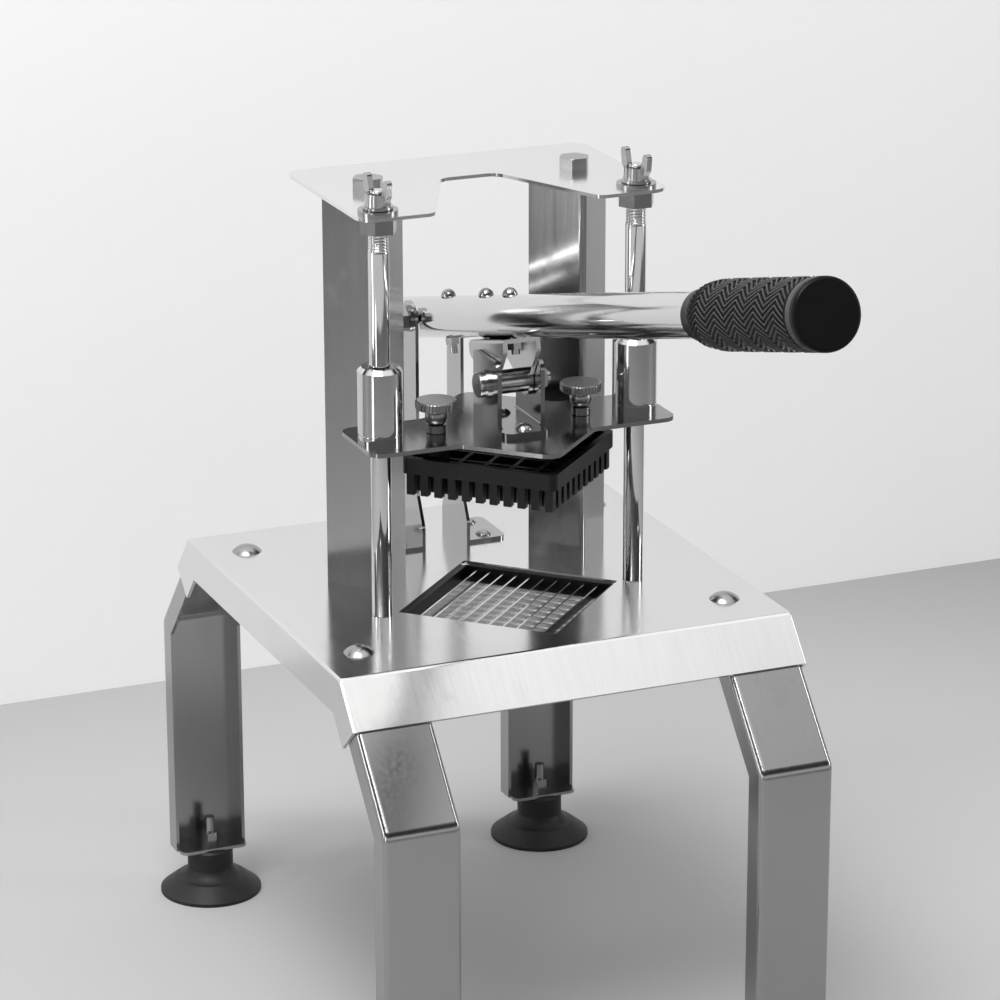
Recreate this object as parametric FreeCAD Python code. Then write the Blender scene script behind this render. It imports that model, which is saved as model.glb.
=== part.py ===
# French fry cutter: a lever press that pushes a potato through a square grid of blades.
# Everything is drawn in the table frame: origin at the centre of the table's top face,
# X to the right, Y to the back, Z up. SHIFT moves it to the part frame at the end.

import math
import os

import FreeCAD
import Part
from FreeCAD import Vector as V

# Table
TABLE_W = 280.0             # over the side flanges
TABLE_D = 262.0             # flat top, front bend to rear bend
SKIRT_OUT = 21.5            # how far each sloped skirt reaches out
SKIRT_DROP = 24.1           # how far it drops
SIDE_DEPTH = 23.4           # depth of the side flanges
SHEET = 2.0                 # stainless sheet of the table, legs, uprights and plates
BEND = 1.5                  # inner bend radius of the sheet

# Legs and feet
LEG_W = 46.0                # outside width of the U channel
LEG_DEPTH = 16.0            # flange depth
LEG_EDGE_R = 3.5            # outer radius along the channel's long edges
LEG_Y = 192.5               # outer face of the vertical run, from the table's centre
LEG_DROP = 225.5            # table top to the channel's lower end
LEG_TAB = 49.0              # length of the leg's flat end under the table
LEG_BEND = 9.0              # outer radius where the leg turns
FOOT_TAB = 25.0             # depth of the inward tab at the leg's lower end
SIDE_GAP = 0.3              # leg to the table's side flange
NECK_R = 14.5
NECK_H = 13.5
CUP_R = 32.0
CUP_H = 16.0
STUD_R = 3.0
STUD_UP = 20.0              # stud above the tab's lower face

# Uprights, top plate and guide rods
UPRIGHT_LEG = 35.0          # each leg of the angle profile
UPRIGHT_X = 64.5            # vertex of the angle, which points to the front
UPRIGHT_Y = -2.8
TAB_BOLT_BACK = 15.5        # bolt centre behind the vertex
POST_H = 237.3              # table top to the underside of the top plate
EDGE_PAST_ROD = 15.3        # top plate and carriage plate reach this far past the rods
TOP_FRONT = -56.0
TOP_REAR = 70.0
TOP_CORNER_R = 10.8
NOTCH_FRONT_W = 50.6        # half width of the notch at the front edge
NOTCH_BACK_W = 17.2         # half width at its bottom
NOTCH_BACK_Y = 18.3
ROD_R = 6.0
ROD_X = 79.5
PRESS_Y = -42.0             # centre line of rods, opening, pusher and clevis pin
ROD_ABOVE = 13.0            # rod end above the top plate
ROD_BELOW = 18.0
STUB_R = 4.6                # the rod is turned down where it passes the top plate
WING_TURN = -83.0           # wings of the wing nuts, from the X axis

# Blades
OPENING = 98.3              # side of the square opening, turned 45 degrees
CELL = 8.55                 # blade pitch
BLADES = 10                 # blades each way
BLADE_T = 0.9
BLADE_H = 5.2
BLADE_GAP = 0.4             # between the two layers
BLADE_SINK = 3.2            # top of the upper layer below the table's top
FRAME_BORE = 93.0           # inside of the black blade frame
FRAME_SIDE = 100.0          # its corners stay clear of the guide rods
FRAME_CORNER_R = 8.0
FRAME_H = 16.0
FRAME_LUG = 13.0            # reach of the screw lugs

# Carriage
REST_Z = 106.3              # top of the carriage plate in the photographed pose
CARRIAGE_T = 2.5
CARRIAGE_BAND = 27.5        # half depth of the straight band across the rods
CARRIAGE_DIAG = 69.5        # half diagonal of the square part
SLEEVE_R = 13.0
SLEEVE_H = 43.4
LINER_R = 8.5
RUNNING = 0.05              # radial clearance of every running fit
PLAY = 0.3                  # clearance between bodies elsewhere
THUMB_X = 45.2
THUMB_R = 12.1
THUMB_HEAD = 5.2
THUMB_NECK_R = 6.5
THUMB_UP = 19.4

# Pusher block
PUSHER = 95.0               # side of the rim
PUSHER_TOP = 12.5           # rim top below the carriage plate's top
RIM_H = 9.5
FLOOR_T = 3.0
FINGER_H = 13.2
SLOT = 3.9
WALL = 4.2

# Clevis, pin and rear pivot
PIN_Z = 131.4               # clevis pin above the table, at rest
PIN_R = 5.0
EAR_X = 13.35               # centre of each clevis ear
EAR_T = 2.5
EAR_DEPTH = 36.6
EAR_TOP = 16.2              # ear above the pin
CLEVIS_BASE_T = 3.0
CLEVIS_FRONT = 12.0         # base in front of the ears
BOLT_Y = 75.5               # rear pivot bolt
BOLT_Z = 140.0
BOLT_R = 4.0
REAR_EAR_W = 22.0
REAR_EAR_GAP = 27.0         # between the inner faces
REAR_FOOT = 24.0            # length of the bent foot
REAR_FOOT_D = 40.0          # the foot is longer than the ear, front to back

# Lever
LEVER_TILT = 14.65          # degrees, front up, at rest
AXIS_H = 37.4               # tube axis above the pin, square to the tube
TUBE_R = 12.5
TUBE_WALL = 1.5
TUBE_REAR = 161.0           # rear end, along the tube from the pin
TUBE_FRONT = -404.0
SLOT_FROM = 103.0           # slot for the pivot bolt, along the tube from the pin
SLOT_TO = 153.0
SLOT_HALF = 7.0
GRIP_FROM = -276.0
GRIP_TO = -412.0
GRIP_R = 18.6
CAP_T = 4.5
CAP_ROUND = 2.2
YOKE_HALF_W = 11.6          # outside of the bracket under the tube
YOKE_T = 2.5
YOKE_REAR = 27.5
YOKE_FRONT = -24.8
YOKE_NOSE_R = 9.0
YOKE_BOLTS = (22.0, -14.7)
TAIL_BOLT = 82.0            # third dome bolt, along the tube
YOKE_BOLT_R = 2.5
DOME_R = 4.5
RIB_H = 1.1                 # the zigzag ribs stand this far above the rubber

# Fasteners: hexagons across flats, screws and bolts by radius
HEX_5 = 8.0
HEX_6 = 10.0
HEX_8 = 13.0
HEX_10 = 15.0
HEAD_FLATS = 16.0
ROD_NUT = 19.0
ROD_NUT_H = 9.5
NUT_5 = 4.0
NUT_6 = 5.0
NUT_8 = 6.5
NUT_10 = 8.0
HEAD_10 = 6.6
HOLE_PLAY = 0.3             # screw holes are this much wider, in radius
LEG_SCREW_R = 4.0
LEG_SCREW_IN = 13.0         # leg screw from the leg's flat end
TOP_BOLT_R = 5.0
REAR_SCREW_R = 2.5
STUD_M6 = 3.0
WASHER_R = 11.5
WASHER_T = 2.0

# Derived sizes
FOOT_H = NECK_H + CUP_H
TOP_HALF_W = ROD_X + EDGE_PAST_ROD
CARRIAGE_HALF_W = ROD_X + EDGE_PAST_ROD
ROD_TOP = POST_H + SHEET + ROD_ABOVE
TABLE_TOP_Z = LEG_DROP + FOOT_H
SLOPE = math.atan2(SKIRT_DROP, SKIRT_OUT)
TILT = math.radians(LEVER_TILT)
LEG_X = TABLE_W / 2 - SHEET - SIDE_GAP - LEG_W / 2
FOOT_Y = LEG_Y - LEG_DEPTH + 2.0
UNDER_PLATE = REST_Z - CARRIAGE_T
RIM_TOP = REST_Z - PUSHER_TOP
FINGER_TOP = RIM_TOP - RIM_H
FINGERS = BLADES * CELL + CELL - SLOT
GRIP_END = -(GRIP_TO - CAP_T)
CAP_LOW = AXIS_H - GRIP_R + CAP_ROUND
FRONT_Y = PRESS_Y - (GRIP_END - CAP_ROUND) * math.cos(TILT) + CAP_LOW * math.sin(TILT) - CAP_ROUND
REAR_Y = FOOT_Y + CUP_R
SHIFT = V(0, -(FRONT_Y + REAR_Y) / 2, TABLE_TOP_Z)

X = V(1, 0, 0)
Y = V(0, 1, 0)
Z = V(0, 0, 1)
nodes = {}


# Helpers

def box(x0, x1, y0, y1, z0, z1):
    return Part.makeBox(x1 - x0, y1 - y0, z1 - z0, V(x0, y0, z0))


def rod(radius, start, length, axis=Z):
    return Part.makeCylinder(radius, length, V(*start), axis)


def hexagon(across_flats, start, height, axis=Z):
    corner = across_flats / math.sqrt(3)
    points = [V(corner * math.cos(a), corner * math.sin(a), 0)
              for a in (math.radians(60 * i) for i in range(7))]
    solid = Part.Face(Part.makePolygon(points)).extrude(V(0, 0, height))
    top = Part.makeCone(corner + height * 0.5, corner - height * 0.06, height)
    solid = solid.common(top)
    solid.Placement = FreeCAD.Placement(V(*start), FreeCAD.Rotation(Z, axis))
    return solid


def nut(across_flats, bore, start, height, axis=Z):
    direction = V(*axis).normalize()
    hole = rod(bore, V(*start) - direction, height + 2, direction)
    return hexagon(across_flats, start, height, axis).cut(hole)


def dome(radius, height, start, axis=Z):
    """A low round head: a slice of a sphere with its flat side at start."""
    ball_r = (radius ** 2 + height ** 2) / (2 * height)
    ball = Part.makeSphere(ball_r, V(0, 0, height - ball_r))
    head = ball.common(box(-ball_r, ball_r, -ball_r, ball_r, 0, height))
    head.Placement = FreeCAD.Placement(V(*start), FreeCAD.Rotation(Z, axis))
    return head


def outline(points, radii):
    """Closed wire through 2-D points, each corner rounded by its radius."""
    if not hasattr(radii, "__len__"):
        radii = [radii] * len(points)
    corners = []
    for i, radius in enumerate(radii):
        here = V(points[i][0], points[i][1], 0)
        back = V(points[i - 1][0], points[i - 1][1], 0) - here
        ahead = V(*points[(i + 1) % len(points)], 0) - here
        back.normalize()
        ahead.normalize()
        half = back.getAngle(ahead) / 2
        if radius <= 0:
            corners.append((here, here, here))
            continue
        reach = radius / math.tan(half)
        middle = (back + ahead).normalize() * (radius / math.sin(half) - radius)
        corners.append((here + back * reach, here + middle, here + ahead * reach))
    edges = []
    for i, (enter, mid, leave) in enumerate(corners):
        if (enter - leave).Length > 1e-6:
            edges.append(Part.Arc(enter, mid, leave).toShape())
        following = corners[(i + 1) % len(corners)][0]
        if (following - leave).Length > 1e-6:
            edges.append(Part.makeLine(leave, following))
    return Part.Wire(edges)


def slab(points, radii, z0, z1):
    """A flat plate from its outline in X and Y."""
    plate = Part.Face(outline(points, radii)).extrude(V(0, 0, z1 - z0))
    plate.translate(V(0, 0, z0))
    return plate


def side_slab(points, radii, x0, x1):
    """A plate from its outline in Y and Z, extruded along X."""
    plate = Part.Face(outline(points, radii)).extrude(V(0, 0, x1 - x0))
    turn = FreeCAD.Placement(V(x0, 0, 0), FreeCAD.Rotation(Y, Z, X, "ZXY"))
    return plate.transformGeometry(turn.toMatrix())


def offset_path(points, distance):
    """The open path moved sideways to its left, with mitred corners."""
    moved = []
    for i, point in enumerate(points):
        here = V(point[0], point[1], 0)
        normals = []
        for a, b in ((i - 1, i), (i, i + 1)):
            if a >= 0 and b < len(points):
                run = V(points[b][0] - points[a][0], points[b][1] - points[a][1], 0)
                run.normalize()
                normals.append(V(-run.y, run.x, 0))
        mean = normals[0] + normals[-1]
        mean.normalize()
        reach = distance / mean.dot(normals[0])
        moved.append((here.x + mean.x * reach, here.y + mean.y * reach))
    return moved


def band(points, thickness, radius, start=0.0):
    """Closed outline of a strip on the left of a path, and its corner radii."""
    near = offset_path(points, start) if start else list(points)
    far = offset_path(points, start + thickness)
    inner = len(points) - 2
    radii = [0] + [radius - start] * inner + [0, 0]
    radii += [max(radius - start - thickness, 0.4)] * inner + [0]
    return near + far[::-1], radii


def mirror_x(shape):
    return shape.mirror(V(0, 0, 0), X)


def mirror_y(shape):
    return shape.mirror(V(0, 0, 0), Y)


def turned(shape):
    """From the blade grid's own axes to the table's: 45 degrees, at the press centre."""
    shape = shape.copy()
    shape.rotate(V(0, 0, 0), Z, 45)
    shape.translate(V(0, PRESS_Y, 0))
    return shape


def group(shapes):
    return Part.makeCompound(shapes)


def screw(dome_r, dome_h, shank_r, start, length, axis=Z):
    """Dome-head screw: start is under the head, and the shank runs against the axis."""
    direction = V(*axis).normalize()
    shank = rod(shank_r, V(*start) - direction * length, length, direction)
    return dome(dome_r, dome_h, start, axis).fuse(shank)


def hex_bolt(across_flats, head, shank_r, start, length, axis=Z):
    direction = V(*axis).normalize()
    shank = rod(shank_r, V(*start) - direction * length, length, direction)
    return hexagon(across_flats, start, head, axis).fuse(shank).removeSplitter()


# Table: one bent sheet with sloped skirts front and back and a flange on each side

LEG_SCREW_X = LEG_X - 0.6
LEG_SCREW_Y = TABLE_D / 2 - LEG_TAB + LEG_SCREW_IN
LEG_SCREWS = [(sx * LEG_SCREW_X, sy * LEG_SCREW_Y) for sx in (-1, 1) for sy in (-1, 1)]
UPRIGHT_BOLTS = [(sx * UPRIGHT_X, UPRIGHT_Y + TAB_BOLT_BACK) for sx in (-1, 1)]
REAR_EAR_X = REAR_EAR_GAP / 2 + SHEET
REAR_SCREWS = [(sx * (REAR_EAR_X + REAR_FOOT / 2), BOLT_Y + dy) for sx in (-1, 1) for dy in (-12, 12)]
LUG_T = 5.0
LUG_AT = FRAME_SIDE / 2 + FRAME_LUG / 2
LUG_SIDES = ((1, 0), (-1, 0), (0, 1), (0, -1))


def skirt_path():
    half = TABLE_D / 2
    return [(half + SKIRT_OUT, -SKIRT_DROP), (half, 0), (-half, 0), (-half - SKIRT_OUT, -SKIRT_DROP)]


def make_table():
    points, radii = band(skirt_path(), SHEET, BEND + SHEET)
    top = side_slab(points, radii, -TABLE_W / 2, TABLE_W / 2)
    points, radii = band(skirt_path(), SIDE_DEPTH, BEND + SHEET)
    flange = side_slab(points, radii, TABLE_W / 2 - SHEET, TABLE_W / 2)
    table = top.fuse([flange, mirror_x(flange)]).removeSplitter()
    table = table.makeFillet(BEND, long_edges(table, TABLE_W / 2))
    opening = turned(box(-OPENING / 2, OPENING / 2, -OPENING / 2, OPENING / 2, -5, 5))
    holes = [rod(LEG_SCREW_R + HOLE_PLAY, (x, y, -5), 10) for x, y in LEG_SCREWS]
    holes += [rod(TOP_BOLT_R + HOLE_PLAY, (x, y, -5), 10) for x, y in UPRIGHT_BOLTS]
    holes += [rod(ROD_R + 0.1, (sx * ROD_X, PRESS_Y, -5), 10) for sx in (-1, 1)]
    holes += [rod(REAR_SCREW_R + HOLE_PLAY, (x, y, -5), 10) for x, y in REAR_SCREWS]
    return table.cut([opening] + holes)


def long_edges(solid, x):
    """The straight top edges of the table at one |x|."""
    found = []
    for edge in solid.Edges:
        ends = [v.Point for v in edge.Vertexes]
        if len(ends) == 2 and all(abs(abs(p.x) - x) < 1e-3 and p.z > -0.01 for p in ends):
            found.append(edge)
    return found


nodes["table_plate"] = make_table()


# Legs: a U channel that lies under the table, follows the skirt and turns down

def leg_path():
    """Outer face of the leg in Y and Z, from its flat end to the floor end."""
    half = TABLE_D / 2
    under_bend = half - SHEET * math.tan(SLOPE / 2)
    corner_z = -SHEET - (LEG_Y - under_bend) * math.tan(SLOPE)
    return [(LEG_Y, -LEG_DROP), (LEG_Y, corner_z), (under_bend, -SHEET), (half - LEG_TAB, -SHEET)]


def make_leg():
    path = leg_path()
    x0 = LEG_X - LEG_W / 2
    x1 = LEG_X + LEG_W / 2
    points, radii = band(path, LEG_DEPTH, LEG_BEND)
    solid = side_slab(points, radii, x0, x1)
    rims = []
    for edge in solid.Edges:
        near = edge.valueAt((edge.FirstParameter + edge.LastParameter) / 2)
        face_line = min(distance_to_path((p.y, p.z), path) for p in
                        [near] + [v.Point for v in edge.Vertexes])
        on_side = all(min(abs(v.Point.x - x0), abs(v.Point.x - x1)) < 1e-3 for v in edge.Vertexes)
        along = len({round(v.Point.x, 3) for v in edge.Vertexes}) == 1
        if on_side and along and face_line < 0.01 and edge_on_face(edge, path):
            rims.append(edge)
    solid = solid.makeFillet(LEG_EDGE_R, rims)
    points, radii = band(path, LEG_DEPTH + 2, LEG_BEND, SHEET)
    core = side_slab(points, radii, x0 + SHEET, x1 - SHEET)
    below = box(x0, x1, LEG_Y - 40, LEG_Y + 1, -LEG_DROP - 5, -LEG_DROP)
    leg = solid.cut([core, below])
    tab = slab([(x0 + 1, LEG_Y - FOOT_TAB), (x1 - 1, LEG_Y - FOOT_TAB), (x1 - 1, LEG_Y - SHEET / 2),
                (x0 + 1, LEG_Y - SHEET / 2)], [5, 5, 0, 0], -LEG_DROP, -LEG_DROP + SHEET)
    leg = leg.fuse(tab)
    hole = rod(LEG_SCREW_R + HOLE_PLAY, (LEG_SCREW_X, LEG_SCREW_Y, -10), 10)
    stud = rod(STUD_R + 0.2, (LEG_X, FOOT_Y, -LEG_DROP - 1), SHEET + 2)
    return leg.cut([hole, stud])


def distance_to_path(point, path):
    best = 1e9
    for (ax, ay), (bx, by) in zip(path, path[1:]):
        run = V(bx - ax, by - ay, 0)
        to = V(point[0] - ax, point[1] - ay, 0)
        share = min(max(to.dot(run) / run.dot(run), 0), 1)
        best = min(best, (to - run * share).Length)
    return best


def edge_on_face(edge, path):
    """True for an edge that follows the leg's outer face, round its bends too."""
    spots = [edge.valueAt(edge.FirstParameter + (edge.LastParameter - edge.FirstParameter) * t)
             for t in (0.25, 0.5, 0.75)]
    return all(distance_to_path((p.y, p.z), path) < LEG_BEND * 0.5 for p in spots)


leg = make_leg()
nodes["leg_rear_right"] = leg
nodes["leg_rear_left"] = mirror_x(leg)
nodes["leg_front_right"] = mirror_y(leg)
nodes["leg_front_left"] = mirror_x(mirror_y(leg))


# Feet: a rubber neck and suction cup, a steel stud and a nut

FEET = [(sx, sy) for sy in (-1, 1) for sx in (-1, 1)]
FOOT_NAMES = ["foot_front_left", "foot_front_right", "foot_rear_left", "foot_rear_right"]
CUP_LIP = 2.2
CUP_HOLLOW = 8.0
CUP_EDGE = 1.5


def make_foot(x, y):
    base = -LEG_DROP - FOOT_H
    points = [V(0, 0, -LEG_DROP), V(NECK_R - 1.2, 0, -LEG_DROP), V(NECK_R, 0, -LEG_DROP - 1.2),
              V(NECK_R, 0, base + CUP_H)]
    wire = [Part.makeLine(a, b) for a, b in zip(points, points[1:])]
    shoulder = V(NECK_R + 7.5, 0, base + CUP_H * 0.62)
    lip = V(CUP_R, 0, base + CUP_LIP)
    wire.append(Part.Arc(points[-1], V(NECK_R + 2.4, 0, base + CUP_H * 0.78), shoulder).toShape())
    wire.append(Part.Arc(shoulder, V(CUP_R - 4.5, 0, base + CUP_H * 0.36), lip).toShape())
    floor = [lip, V(CUP_R, 0, base), V(0, 0, base), points[0]]
    wire += [Part.makeLine(a, b) for a, b in zip(floor, floor[1:])]
    foot = Part.Face(Part.Wire(wire)).revolve(V(0, 0, 0), Z, 360)
    foot = foot.cut(dome(CUP_R - CUP_EDGE, CUP_HOLLOW, (0, 0, base)))
    foot = foot.cut(rod(STUD_R, (0, 0, -LEG_DROP - NECK_H), NECK_H + 1))
    foot.translate(V(x, y, 0))
    return foot


for name, (sx, sy) in zip(FOOT_NAMES, FEET):
    nodes[name] = make_foot(sx * LEG_X, sy * FOOT_Y)
STUD_PLACES = [(sx * LEG_X, sy * FOOT_Y) for sx, sy in FEET]
nodes["foot_studs"] = group([rod(STUD_R, (x, y, -LEG_DROP - NECK_H), NECK_H + STUD_UP)
                             for x, y in STUD_PLACES])
nodes["foot_nuts"] = group([nut(HEX_6, STUD_R, (x, y, -LEG_DROP + SHEET), NUT_10) for x, y in STUD_PLACES])
nodes["leg_screws"] = group([screw(9.0, 4.2, LEG_SCREW_R, (x, y, 0), 16) for x, y in LEG_SCREWS])
nodes["leg_screw_nuts"] = group([nut(HEX_8, LEG_SCREW_R, (x, y, -2 * SHEET - NUT_8), NUT_8)
                                 for x, y in LEG_SCREWS])


# Uprights: angle profiles with a bent tab top and bottom, bolted to the table and top plate

def make_upright():
    """Right-hand upright, its vertex to the front."""
    side = UPRIGHT_LEG
    points = [(0, 0), (side, 0), (side, SHEET), (SHEET, SHEET), (SHEET, side), (0, side)]
    angle = slab(points, [SHEET + BEND, 0, 0, BEND, 0, 0], 0, POST_H)
    tab = [(SHEET / 2, SHEET / 2), (side - 4, SHEET / 2), (SHEET / 2, side - 4)]
    foot = slab(tab, [0, 5, 5], 0, SHEET)
    head = slab(tab, [0, 5, 5], POST_H - SHEET, POST_H)
    post = angle.fuse([foot, head]).removeSplitter()
    post.rotate(V(0, 0, 0), Z, 45)
    post.translate(V(UPRIGHT_X, UPRIGHT_Y, 0))
    return post.cut(rod(TOP_BOLT_R + HOLE_PLAY, (UPRIGHT_X, UPRIGHT_Y + TAB_BOLT_BACK, -1), POST_H + 2))


upright = make_upright()
nodes["upright_right"] = upright
nodes["upright_left"] = mirror_x(upright)
PLATE_TOP = POST_H + SHEET
GRIP_10 = 2 * SHEET + NUT_10 + 3
nodes["top_bolts"] = group([hex_bolt(HEAD_FLATS, HEAD_10, TOP_BOLT_R, (x, y, PLATE_TOP), GRIP_10)
                            for x, y in UPRIGHT_BOLTS])
nodes["top_bolt_nuts"] = group([nut(HEX_10, TOP_BOLT_R, (x, y, POST_H - SHEET - NUT_10), NUT_10)
                                for x, y in UPRIGHT_BOLTS])
nodes["base_bolts"] = group([hex_bolt(HEAD_FLATS, HEAD_10, TOP_BOLT_R, (x, y, -SHEET), GRIP_10, V(0, 0, -1))
                             for x, y in UPRIGHT_BOLTS])
nodes["base_bolt_nuts"] = group([nut(HEX_10, TOP_BOLT_R, (x, y, SHEET), NUT_10) for x, y in UPRIGHT_BOLTS])


# Top plate with its front notch

def make_top_plate():
    points = [(TOP_HALF_W, TOP_FRONT), (TOP_HALF_W, TOP_REAR), (-TOP_HALF_W, TOP_REAR),
              (-TOP_HALF_W, TOP_FRONT), (-NOTCH_FRONT_W, TOP_FRONT), (-NOTCH_BACK_W, NOTCH_BACK_Y),
              (NOTCH_BACK_W, NOTCH_BACK_Y), (NOTCH_FRONT_W, TOP_FRONT)]
    radii = [TOP_CORNER_R] * 4 + [7, 9, 9, 7]
    plate = slab(points, radii, POST_H, PLATE_TOP)
    holes = [rod(TOP_BOLT_R + HOLE_PLAY, (x, y, POST_H - 1), SHEET + 2) for x, y in UPRIGHT_BOLTS]
    holes += [rod(STUB_R + 0.2, (sx * ROD_X, PRESS_Y, POST_H - 1), SHEET + 2) for sx in (-1, 1)]
    return plate.cut(holes)


nodes["top_plate"] = make_top_plate()


# Guide rods, held under the table and at the top plate

WING_GAP = 0.3
HUB_R = 7.6
HUB_H = 8.8
WING_T = 3.2
RODS = [(-ROD_X, PRESS_Y), (ROD_X, PRESS_Y)]


def make_guide_rod(x, y):
    body = rod(ROD_R, (x, y, -ROD_BELOW), POST_H + ROD_BELOW)
    stub = rod(STUB_R, (x, y, POST_H), ROD_TOP - POST_H)
    tip = [e for e in stub.Edges if e.BoundBox.ZMin > ROD_TOP - 0.01]
    return body.fuse(stub.makeChamfer(1.0, tip))


def make_wing_nut(x, y):
    """Round hub with two upright rounded wings."""
    seat = PLATE_TOP + WASHER_T + WING_GAP
    hub = Part.makeCone(HUB_R, HUB_R - 0.5, HUB_H, V(0, 0, 0))
    hub = hub.fuse(rod(HUB_R + 1.0, (0, 0, 0), 1.6))
    wing = [(5.6, 1.8), (8.2, 1.8), (13.6, 8.5), (14.8, 18.2), (9.8, 18.2), (7.4, 9.0)]
    blade = Part.Face(outline(wing, [0, 2, 3, 2.4, 2.4, 3])).extrude(V(0, 0, WING_T))
    blade.rotate(V(0, 0, 0), X, 90)
    blade.translate(V(0, WING_T / 2, 0))
    nut_body = hub.fuse([blade, mirror_x(blade)]).cut(rod(STUB_R + RUNNING, (0, 0, -1), 30))
    nut_body.rotate(V(0, 0, 0), Z, WING_TURN)
    nut_body.translate(V(x, y, seat))
    return nut_body


nodes["guide_rod_left"] = make_guide_rod(*RODS[0])
nodes["guide_rod_right"] = make_guide_rod(*RODS[1])
nodes["rod_lock_nuts"] = group([nut(ROD_NUT, ROD_R, (x, y, POST_H - ROD_NUT_H), ROD_NUT_H)
                                for x, y in RODS])
nodes["rod_base_nuts"] = group([nut(ROD_NUT, ROD_R, (x, y, -SHEET - ROD_NUT_H), ROD_NUT_H)
                                for x, y in RODS])
nodes["rod_washers"] = group([rod(WASHER_R, (x, y, PLATE_TOP), WASHER_T).cut(
    rod(STUB_R, (x, y, PLATE_TOP - 1), WASHER_T + 2)) for x, y in RODS])
nodes["wing_nut_left"] = make_wing_nut(*RODS[0])
nodes["wing_nut_right"] = make_wing_nut(*RODS[1])


# Blade frame and the two crossed layers of blades

BLADE_AT = [(i - (BLADES - 1) / 2) * CELL for i in range(BLADES)]
UPPER_TOP = -BLADE_SINK
LOWER_TOP = UPPER_TOP - BLADE_H - BLADE_GAP
BLADE_LEN = FRAME_BORE + 6.0


def blade_row(z_top):
    """Blades along the grid's own X axis."""
    return [box(-BLADE_LEN / 2, BLADE_LEN / 2, at - BLADE_T / 2, at + BLADE_T / 2, z_top - BLADE_H, z_top)
            for at in BLADE_AT]


def quarter(shape):
    shape = shape.copy()
    shape.rotate(V(0, 0, 0), Z, 90)
    return shape


def make_blade_frame():
    half = FRAME_SIDE / 2
    square = [(-half, -half), (half, -half), (half, half), (-half, half)]
    body = slab(square, FRAME_CORNER_R, -SHEET - FRAME_H, -SHEET)
    for i in range(4):
        lug = slab([(half - 2, -10), (half + FRAME_LUG, -10), (half + FRAME_LUG, 10), (half - 2, 10)],
                   [0, 6, 6, 0], -SHEET - LUG_T, -SHEET)
        lug.rotate(V(0, 0, 0), Z, 90 * i)
        body = body.fuse(lug)
    bore = FRAME_BORE / 2
    body = body.cut(box(-bore, bore, -bore, bore, -40, 1))
    slots = blade_row(UPPER_TOP) + [quarter(b) for b in blade_row(LOWER_TOP)]
    slots += [rod(STUD_M6 + HOLE_PLAY, (LUG_AT * cx, LUG_AT * cy, -40), 60) for cx, cy in LUG_SIDES]
    return turned(body.cut(slots))


nodes["blade_frame"] = make_blade_frame()
nodes["blades_upper"] = group([turned(b) for b in blade_row(UPPER_TOP)])
nodes["blades_lower"] = group([turned(quarter(b)) for b in blade_row(LOWER_TOP)])
lug_studs = [rod(STUD_M6, (LUG_AT * cx, LUG_AT * cy, -SHEET - LUG_T - NUT_6 - 2), LUG_T + NUT_6 + 2)
             for cx, cy in LUG_SIDES]
lug_nuts = [nut(HEX_6, STUD_M6, (LUG_AT * cx, LUG_AT * cy, -SHEET - LUG_T - NUT_6), NUT_6)
            for cx, cy in LUG_SIDES]
nodes["blade_frame_studs"] = group([turned(stud) for stud in lug_studs])
nodes["blade_frame_nuts"] = group([turned(piece) for piece in lug_nuts])


# Rear ears and the bolt that the lever's slotted tail slides on

def make_rear_ear():
    """Right-hand ear: an upright strip with a bent foot."""
    x0 = REAR_EAR_GAP / 2
    x1 = x0 + SHEET
    half = REAR_EAR_W / 2
    foot_half = REAR_FOOT_D / 2
    profile = [(BOLT_Y - foot_half, 0), (BOLT_Y + foot_half, 0), (BOLT_Y + foot_half, 14),
               (BOLT_Y + half, 32), (BOLT_Y + half, BOLT_Z + half), (BOLT_Y - half, BOLT_Z + half),
               (BOLT_Y - half, 32), (BOLT_Y - foot_half, 14)]
    ear = side_slab(profile, [0, 0, 4, 6, half - 0.1, half - 0.1, 6, 4], x0, x1)
    foot = slab([(x0 + 0.5, BOLT_Y - foot_half), (x1 + REAR_FOOT, BOLT_Y - foot_half),
                 (x1 + REAR_FOOT, BOLT_Y + foot_half), (x0 + 0.5, BOLT_Y + foot_half)],
                [0, 5, 5, 0], 0, SHEET)
    ear = ear.fuse(foot).removeSplitter()
    holes = [rod(REAR_SCREW_R + HOLE_PLAY, (x, y, -1), 5) for x, y in REAR_SCREWS if x > 0]
    holes.append(rod(BOLT_R, (x0 - 1, BOLT_Y, BOLT_Z), SHEET + 2, X))
    return ear.cut(holes)


rear_ear = make_rear_ear()
nodes["rear_ear_right"] = rear_ear
nodes["rear_ear_left"] = mirror_x(rear_ear)
nodes["rear_ear_screws"] = group([screw(5.0, 2.8, REAR_SCREW_R, (x, y, SHEET), 12) for x, y in REAR_SCREWS])
nodes["rear_ear_nuts"] = group([nut(HEX_5, REAR_SCREW_R, (x, y, -SHEET - NUT_5), NUT_5)
                                for x, y in REAR_SCREWS])
PIVOT_WASHER = 1.6
nodes["pivot_bolt"] = hex_bolt(HEX_8, 5.3, BOLT_R, (-REAR_EAR_X - PIVOT_WASHER, BOLT_Y, BOLT_Z),
                               2 * REAR_EAR_X + 2 * PIVOT_WASHER + 10, V(-1, 0, 0))
nodes["pivot_nut"] = nut(HEX_8, BOLT_R, (REAR_EAR_X + PIVOT_WASHER, BOLT_Y, BOLT_Z), NUT_8, X)
nodes["pivot_washers"] = group([rod(8.0, (x, BOLT_Y, BOLT_Z), PIVOT_WASHER, X).cut(
    rod(BOLT_R, (x - 1, BOLT_Y, BOLT_Z), PIVOT_WASHER + 2, X))
    for x in (-REAR_EAR_X - PIVOT_WASHER, REAR_EAR_X)])


# Carriage plate: a square turned 45 degrees across a straight band

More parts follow.
